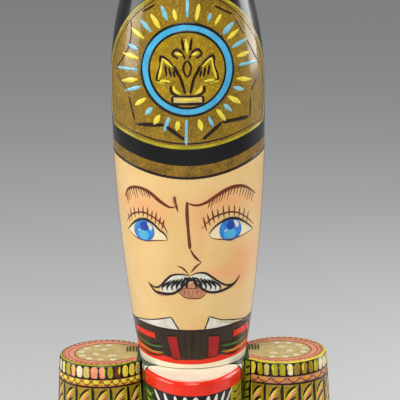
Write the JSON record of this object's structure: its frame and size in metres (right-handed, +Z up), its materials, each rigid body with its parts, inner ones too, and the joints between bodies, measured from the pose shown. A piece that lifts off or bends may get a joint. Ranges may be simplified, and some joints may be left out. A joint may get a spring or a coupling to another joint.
{
  "type": "nutcracker figure",
  "caption": "Wooden nutcracker soldier with a tall turned hat and head, barrel arms, and a jaw worked by a lever that hangs down the back.",
  "frame": {"origin": "centre of the base's flat underside", "axes": "+Z up along the figure, the face looks along -Y, +X is the figure's own left"},
  "size_m": [0.096, 0.076, 0.3],
  "materials": {
    "face_paint": "hand-painted skin colour under clear gloss lacquer on turned linden wood",
    "coat_paint": "dark green paint with gold lines under clear gloss lacquer",
    "sleeve_paint": "gold, green and dark brush strokes under clear gloss lacquer",
    "beard_paint": "black paint with white strokes, red lip and cream ledge, clear gloss lacquer",
    "breeches_paint": "off-white paint above, black boot shaft below, clear gloss lacquer",
    "boot_paint": "black paint under clear gloss lacquer",
    "glove_paint": "white paint under clear gloss lacquer",
    "base_paint": "dark green paint with a gold line under clear gloss lacquer",
    "bare_beech": "unpainted beech dowel",
    "screw_steel": "zinc-plated countersunk screw"
  },
  "bodies": {
    "figure": {"base": "base_paint", "base_screws": "screw_steel", "left_leg": "breeches_paint", "right_leg": "breeches_paint", "left_toe": "boot_paint", "right_toe": "boot_paint", "toe_dowels": "bare_beech", "leg_dowels": "bare_beech", "coat_skirt": "coat_paint", "skirt_dowels": "bare_beech", "torso": "coat_paint", "left_arm": "sleeve_paint", "right_arm": "sleeve_paint", "left_arm_dowels": "bare_beech", "right_arm_dowels": "bare_beech", "left_hand": "glove_paint", "right_hand": "glove_paint", "hand_dowels": "bare_beech", "head": "face_paint", "head_dowels": "bare_beech", "pivot_pin": "bare_beech"},
    "jaw_lever": {"lever": "coat_paint", "jaw_block": "beard_paint", "jaw_dowels": "bare_beech"}
  },
  "joints": [
    {"name": "jaw_hinge", "type": "hinge", "parent": "figure", "child": "jaw_lever", "pos_m": [0, 0.004, 0.127], "axis": [1, 0, 0], "range_deg": [0, 24]}
  ]
}
